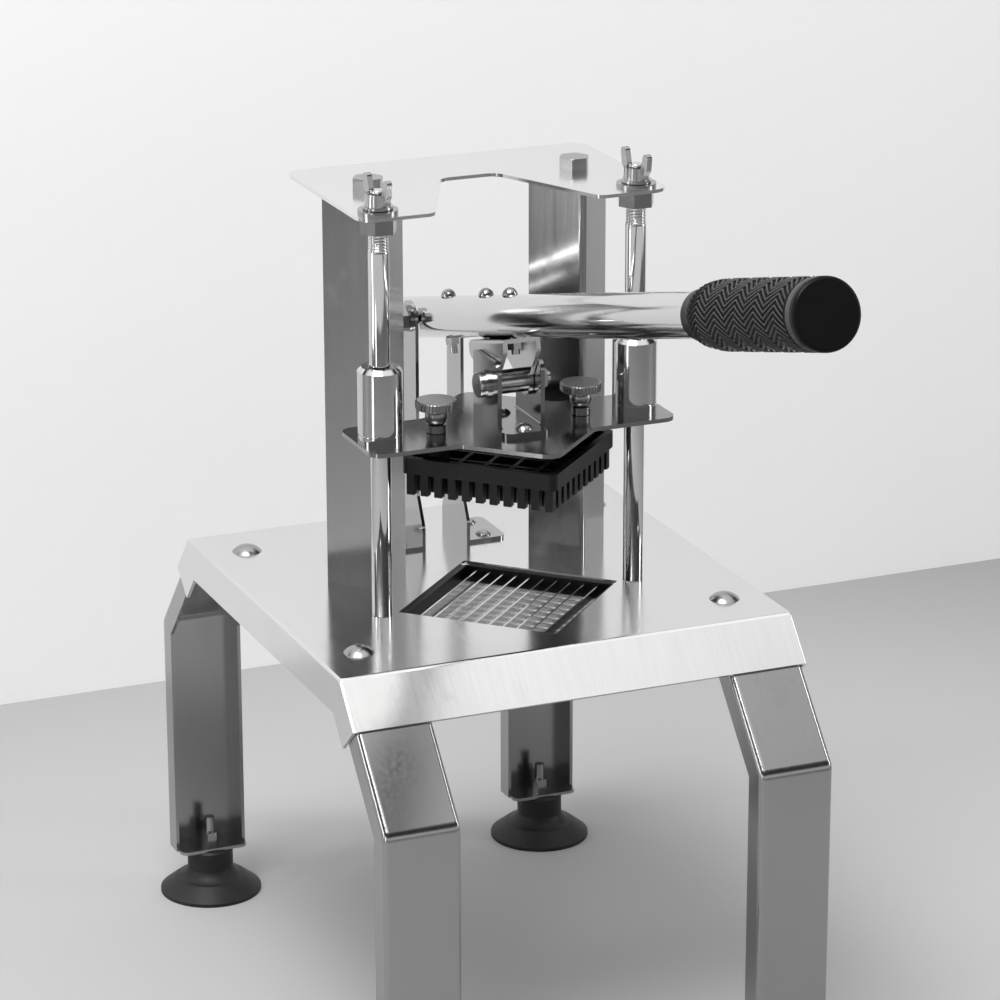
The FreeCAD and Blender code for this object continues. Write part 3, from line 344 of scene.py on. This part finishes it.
# %% Finishes by name
FINISH_OF = {
    "table_plate": sheet, "top_plate": sheet, "carriage_plate": sheet_dark_painted_shade,
    "upright": sheet_upright_painted_shade, "leg_front_": leg_sheet_painted_shade, "leg_rear_": leg_sheet_painted_shade,
    "rear_ear_left": sheet_upright_painted_shade, "rear_ear_right": sheet_upright_painted_shade,
    "clevis_bracket": sheet_dark_painted_shade, "lever_yoke": sheet_upright_painted_shade, "lever_tube": tube,
    "guide_rod": bar, "guide_sleeve": bar, "clevis_pin": turned, "pin_sleeve": turned,
    "sleeve_liners": bronze, "pusher_inserts": bronze,
    "thumb_screw": knob, "wing_nut": turned, "blades": edge, "blade_frame": frame_black,
    "blade_frame_studs": plated, "blade_frame_nuts": plated, "pusher_block": plastic,
    "foot_front": foot_rubber, "foot_rear": foot_rubber,
    "grip": grip_rubber, "grip_cap": cap_rubber,
}


def finish_for(node):
    """The longest name in the table that the node's name starts with, or the fastener finish."""
    fits = [key for key in FINISH_OF if node.startswith(key)]
    return FINISH_OF[max(fits, key=len)] if fits else plated


for node, obj in NODES.items():
    for slot in obj.material_slots:
        slot.material = finish_for(node)
print("finishes given to", len(NODES), "nodes")

# %% [markdown]
# ## Surfaces from numbers
# A round piece is a function of two parameters: how far along its axis, and what angle round it.
# `skin` turns arrays of X, Y and Z on such a grid into a mesh and joins the last column to the
# first. Rows go along the axis and columns round it. Faces point outwards where the columns turn
# by the right hand, and a grid that turns by the left is told so. Whole arrays are worked out at
# once, which is far quicker than a loop over vertices.


# %% Grid to mesh
def add_object(name, data):
    """Puts a mesh, lamp or camera into the scene."""
    obj = bpy.data.objects.new(name, data)
    bpy.context.scene.collection.objects.link(obj)
    return obj


def skin(name, x, y, z, caps=False, left_handed=False):
    """Quads between neighbours of an (n, m) grid that closes round; caps fills both end rows.
    A left-handed grid has the corners of each quad taken the other way round."""
    n, m = x.shape
    points = np.stack([x, y, z], axis=-1).reshape(-1, 3)
    row = np.arange(n - 1)[:, None] * m
    column = np.arange(m)[None, :]
    after = (column + 1) % m
    corners = [row + column, row + after, row + m + after, row + m + column]
    if left_handed:
        corners = [corners[i] for i in (0, 3, 2, 1)]
    faces = np.stack(corners, axis=-1).reshape(-1, 4).tolist()
    if caps:
        faces += [list(range(m))[::-1], list(range((n - 1) * m, n * m))]
    mesh = bpy.data.meshes.new(name)
    mesh.from_pydata(points.tolist(), [], faces)
    mesh.shade_smooth()
    return add_object(name, mesh)


def ease(value, start, length):
    """Straight slope: 0 up to start, 1 from start + length on."""
    return np.clip((value - start) / length, 0, 1)


# %% [markdown]
# ## Threaded guide rods
# The rods are ground bar with a thread cut at each end, and they are turned down to a stub where
# they pass the top plate. A thread is a helix: at height z and angle a the radius falls by a
# triangle wave of z / pitch - a / turn. A Screw modifier could wind it too, but then its ends
# don't run out softly. The grid is fine only where the thread is, so the plain middle costs
# almost nothing.

# %% A bar with threads
PITCH = 0.00175
THREAD_DEPTH = 0.0009
CHAMFER = 0.001
ROWS_PER_TURN = 5
ROUND_STEPS = 48
TINY = 1e-6


def threaded_bar(name, centre, radius, z0, z1, threads):
    """Radius(z, a) = R - depth * triangle(z / pitch - a / 2pi) inside each thread, R outside, and
    R - chamfer at both ends. Each thread runs out over one pitch."""
    heights = [np.array([z0, z0 + 0.8 * CHAMFER, z1 - CHAMFER, z1])]
    heights += [np.arange(start, end, PITCH / ROWS_PER_TURN) for start, end in threads]
    z = np.unique(np.round(np.clip(np.concatenate(heights), z0, z1), 6))
    angle = np.linspace(0, 2 * np.pi, ROUND_STEPS, endpoint=False)
    zz, aa = np.meshgrid(z, angle, indexing="ij")
    tooth = np.abs(2 * ((zz / PITCH - aa / (2 * np.pi)) % 1.0) - 1)
    cut = np.zeros_like(zz)
    for start, end in threads:
        cut = np.maximum(cut, ease(zz, start, PITCH) * ease(end - zz, 0, PITCH))
    r = radius - THREAD_DEPTH * tooth * cut
    r = np.where((zz >= z1 - TINY) | (zz <= z0 + TINY), radius - CHAMFER, r)
    return skin(name, centre[0] + r * np.cos(aa), centre[1] + r * np.sin(aa), zz, caps=True)


# %% Both guide rods
ROD_R = 0.006
STUB_R = 0.0046             # the rod is turned down where it passes the top plate
THREAD_TOP = 0.021          # length of thread below the top plate
THREAD_STOP = 0.0002        # the top thread ends this far under the plate
THREAD_SUNK = 0.003         # the foot's thread ends this far below the table's top

plate_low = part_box("top_plate")[0]
table_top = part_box("table_plate")[1][2]
plate_z = plate_low[2]
for side in ("left", "right"):
    node = "guide_rod_" + side
    rod_low, rod_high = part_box(node)
    centre = ((rod_low[0] + rod_high[0]) / 2, (rod_low[1] + rod_high[1]) / 2)
    foot_thread = (rod_low[2], table_top - THREAD_SUNK)
    top_thread = (plate_z - THREAD_TOP, plate_z - THREAD_STOP)
    shaft = threaded_bar(node + "_shaft", centre, ROD_R, rod_low[2], plate_z,
                         [foot_thread, top_thread])
    stub = threaded_bar(node + "_stub", centre, STUB_R, plate_z, rod_high[2],
                        [(plate_z, rod_high[2])])
    for piece in (shaft, stub):
        piece.data.materials.append(bar)
        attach(piece, "frame")
        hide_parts(node)
    print(node, "thread from", round(top_thread[0], 4), "to", round(rod_high[2], 4))

# %% [markdown]
# ## Ribbed grip
# The rubber grip is moulded with zigzag ribs that run along it and repeat round it, like a
# herringbone. Ribs made by bump alone would vanish at the grip's outline, so these are real
# surface. Along s and round a, a crest is where a * ribs / turn + zigzag(s / period) is a whole
# number. The ribs fade out at both ends, into a smooth mouth and a finely grooved end ring.

# %% Sizes of the grip, along the lever from the pin
GRIP_FROM = -0.276          # mouth of the grip
GRIP_TO = -0.412            # end at the cap
TUBE_R = 0.0125
MOUTH_R = 0.0138            # outer radius at the mouth
MOUTH_BEVEL = 0.0004        # the mouth's edge: this much across
MOUTH_PROUD = 0.0002        # and this much along
SHOULDER = 0.034            # length over which the grip swells
RIBS = 36
RIB_STEPS = 8               # columns of the grid for each rib
ROWS = 262
SWELL_POWER = 1.15
CREST_GAIN, CREST_CUT = 1.9, 0.75   # steepness of a rib's sides, and how wide its groove is
ZIG_PERIOD = 0.0225
ZIG_SWING = 0.0068          # crest to valley of a zigzag, round the grip
FADE_IN = (0.009, 0.006)    # from the mouth: where ribs start, and over what length
FADE_OUT = (0.0065, 0.0015)  # from the cap
RING = 0.005                # length of the end ring
RING_EDGE = 0.0012
GROOVE_PITCH = 0.0021
GROOVE_DEPTH = 0.0003
print("ribs are", round(2000 * math.pi * GRIP_R / RIBS, 2), "mm apart")


# %% Radius of the grip
def core_radius(s):
    """Core under the ribs: mouth radius plus the swell times a power of a quarter sine."""
    swell = GRIP_R - RIB_HEIGHT - MOUTH_R
    rise = np.sin(ease(GRIP_FROM - s, 0, SHOULDER) * np.pi / 2) ** SWELL_POWER
    return MOUTH_R + swell * rise


def rib_crest(s, a):
    """0 in a groove, 1 on a crest: a cosine of the zigzag's phase, made steeper and cut flat."""
    zigzag = np.abs(((s / ZIG_PERIOD) % 1.0) * 2 - 1)
    spacing = 2 * np.pi * GRIP_R / RIBS
    phase = a * RIBS / (2 * np.pi) + zigzag * ZIG_SWING / spacing
    wave = 0.5 + 0.5 * np.cos(2 * np.pi * phase)
    return np.clip(wave * CREST_GAIN - CREST_CUT, 0, 1)


def grip_radius(s, a):
    """Core plus ribs, which fade at both ends; near the cap a ring with cosine grooves."""
    from_mouth, from_cap = GRIP_FROM - s, s - GRIP_TO
    ribs = rib_crest(s, a) * ease(from_mouth, *FADE_IN) * ease(from_cap, *FADE_OUT)
    r = core_radius(s) + RIB_HEIGHT * ribs
    groove = GROOVE_DEPTH * (0.5 + 0.5 * np.cos(2 * np.pi * from_cap / GROOVE_PITCH))
    return r + (GRIP_R - groove - r) * (1 - ease(from_cap, RING, RING_EDGE))


# %% The grip on its tube
def round_tube(name, s, r, a):
    """Skin through points s along the lever, at radius r and angle a round the tube's axis. Its
    rows run away from the pin, which is against the right hand."""
    points = on_lever(r * np.sin(a), s, AXIS_H + r * np.cos(a))
    return skin(name, *points, left_handed=True)


around = np.linspace(0, 2 * np.pi, RIBS * RIB_STEPS, endpoint=False)
s, a = np.meshgrid(np.linspace(GRIP_FROM, GRIP_TO, ROWS), around, indexing="ij")
ribbed = round_tube("grip_ribbed", s, grip_radius(s, a), a)
rim_s = [GRIP_FROM + MOUTH_PROUD, GRIP_FROM + MOUTH_PROUD, GRIP_FROM]
rim_r = np.array([[TUBE_R], [MOUTH_R - MOUTH_BEVEL], [MOUTH_R]])
s, a = np.meshgrid(rim_s, around, indexing="ij")
mouth = round_tube("grip_mouth", s, rim_r, a)
for piece in (ribbed, mouth):
    piece.data.materials.append(grip_rubber)
    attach(piece, "lever")
    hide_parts("grip")
print("grip faces:", len(ribbed.data.polygons))

# %% [markdown]
# ## Floor and wall
# Polished metal shows whatever stands round it, so the room is part of the look. The floor and
# the wall close behind the cutter are pale paint with painted shade that goes softly darker with
# distance from the middle, which gives flat sheets something to mirror. The wall lets views from
# behind pass through it.

# %% Paint and panels
PAINT_ROUGH = 0.6
PAINT_SPECULAR = 0.08


def plain(name, near, far, start, end, one_sided=False):
    """Pale paint with painted shade: its tone goes softly from the near tone to the far tone with
    distance.
    """
    paint = Finish(name)
    away = paint.length(paint.place())
    tone = paint.blend(away.ramp(start, end), grey(near), grey(far))
    sockets = {"Base Color": tone, "Roughness": PAINT_ROUGH, "Specular IOR Level": PAINT_SPECULAR}
    coat = paint.node("BsdfPrincipled", {}, sockets)["BSDF"]
    if one_sided:
        behind = paint.node("NewGeometry")["Backfacing"]
        clear = paint.node("BsdfTransparent")["BSDF"]
        coat = paint.node("MixShader", {}, [behind, coat, clear])["Shader"]
    paint.node("OutputMaterial", {}, {"Surface": coat})
    return paint.material


def panel(name, corners, material):
    """One flat quad."""
    mesh = bpy.data.meshes.new(name)
    mesh.from_pydata(corners, [], [(0, 1, 2, 3)])
    mesh.materials.append(material)
    obj = add_object(name, mesh)


# %% Floor and wall
ROOM = 3.2                  # half the width of the floor
WALL_Y = 0.66
WALL_TOP = 1.0
# painted shade: floor and wall get darker away from the middle
panel("floor", [(-ROOM, -ROOM, 0), (ROOM, -ROOM, 0), (ROOM, ROOM, 0), (-ROOM, ROOM, 0)],
      plain("floor_paint_painted_shade", 0.40, 0.20, 0.45, 1.5))
panel("wall", [(-ROOM, WALL_Y, 0), (ROOM, WALL_Y, 0),
               (ROOM, WALL_Y, WALL_TOP), (-ROOM, WALL_Y, WALL_TOP)],
      plain("wall_paint_painted_shade", 0.84, 0.70, 1.2, 2.4, one_sided=True))
print("wall", WALL_TOP, "m high,", WALL_Y, "m behind the middle")

# %% [markdown]
# ## The room beyond
# The world stands for the rest of the room. It is pale at the horizon and bright overhead, with a
# dark band between, which draws the black lines that polished steel needs. The band comes from
# the height of the direction alone, so it is the same from every side.

# %% World
BAND_FROM = (0.20, 0.34)    # height of a direction, 0 level and 1 straight up: pale goes to dark
BAND_TO = (0.68, 0.82)      # and dark goes to bright
HORIZON, DARK, OVERHEAD = 0.80, 0.05, 1.25
ROOM_LEVEL = 0.95
world = bpy.data.worlds.new("studio")
bpy.context.scene.world = world
world.use_nodes = True
studio = Finish("studio", world.node_tree)
direction = studio.node("TexCoord")["Generated"]
height = studio.node("SeparateXYZ", {}, {"Vector": direction})["Z"]
room = studio.blend(height.ramp(*BAND_FROM), grey(HORIZON), grey(DARK))
room = studio.blend(height.ramp(*BAND_TO), room, grey(OVERHEAD))
glow = studio.node("Background", {}, {"Color": room, "Strength": ROOM_LEVEL})["Background"]
studio.node("OutputWorld", {}, {"Surface": glow})
print("dark band from", BAND_FROM, "to", BAND_TO)

# %% [markdown]
# ## Lamps
# Large soft boxes are what a product studio uses on metal: their edges show as soft highlights.
# The key hangs above and gives the shadow on the floor. A strip on each side draws a light line
# down the rods and sleeves, and a weak one low down lifts the fronts of the legs.


# %% Soft boxes
def soft_box(name, place, target, width, height, power):
    """A rectangular lamp at place that faces target: yaw and pitch come from the line between."""
    lamp = bpy.data.lights.new(name, "AREA")
    lamp.shape = "RECTANGLE"
    lamp.size = width
    lamp.size_y = height
    lamp.energy = power
    aim = np.array(target) - np.array(place)
    yaw = math.atan2(aim[0], aim[1])
    pitch = math.atan2(aim[2], math.hypot(aim[0], aim[1]))
    obj = add_object(name, lamp)
    obj.location = place
    obj.rotation_euler = (math.pi / 2 + pitch, 0, -yaw)
    obj.visible_camera = False


CENTRE = (0.0, 0.1, 0.3)
soft_box("key", (-0.7, -0.5, 2.3), CENTRE, 1.1, 1.1, 52)
soft_box("left_strip", (-1.9, 0.1, 0.8), CENTRE, 0.30, 1.4, 7)
soft_box("right_strip", (1.6, -0.5, 0.9), CENTRE, 0.25, 1.3, 7)
soft_box("low_strip", (-0.85, -0.42, 0.22), (0, 0.05, 0.35), 0.10, 0.36, 0.45)
print("lamps:", {lamp.name: round(lamp.energy, 2) for lamp in bpy.data.lights})

# %% [markdown]
# ## Camera
# The camera was solved from the photograph: straight edges of the table, the rods and the plates
# fix its place and turn, in the frame of the part. Its long lens looks down and from the left.
# The turn is built from three directions, right, up and back, which are the camera's own axes.

# %% Camera
YAW = math.radians(22.777)
PITCH_DOWN = math.radians(18.309)
ROLL = math.radians(-0.102)
EYE = (-0.87486, -1.99744, 1.05796)
LENS = 146.73               # mm, for the width of the sensor below
SENSOR = 36.0
FAR = 20.0
camera_data = bpy.data.cameras.new("photo_camera")
camera_data.lens = LENS
camera_data.sensor_width = SENSOR
camera_data.clip_end = FAR
camera = add_object("photo_camera", camera_data)
camera.location = EYE
level = np.array([math.sin(YAW), math.cos(YAW), 0.0])
forward = level * math.cos(PITCH_DOWN) - np.array([0.0, 0.0, math.sin(PITCH_DOWN)])
right = np.array([math.cos(YAW), -math.sin(YAW), 0.0])
up = np.cross(right, forward)
axes = Matrix((right * math.cos(ROLL) + up * math.sin(ROLL),
               up * math.cos(ROLL) - right * math.sin(ROLL), -forward)).transposed()
camera.rotation_mode = "QUATERNION"
camera.rotation_quaternion = axes.to_quaternion()
bpy.context.scene.camera = camera
bpy.context.scene.view_settings.view_transform = "Standard"
print("camera at", tuple(round(v, 3) for v in camera.location))
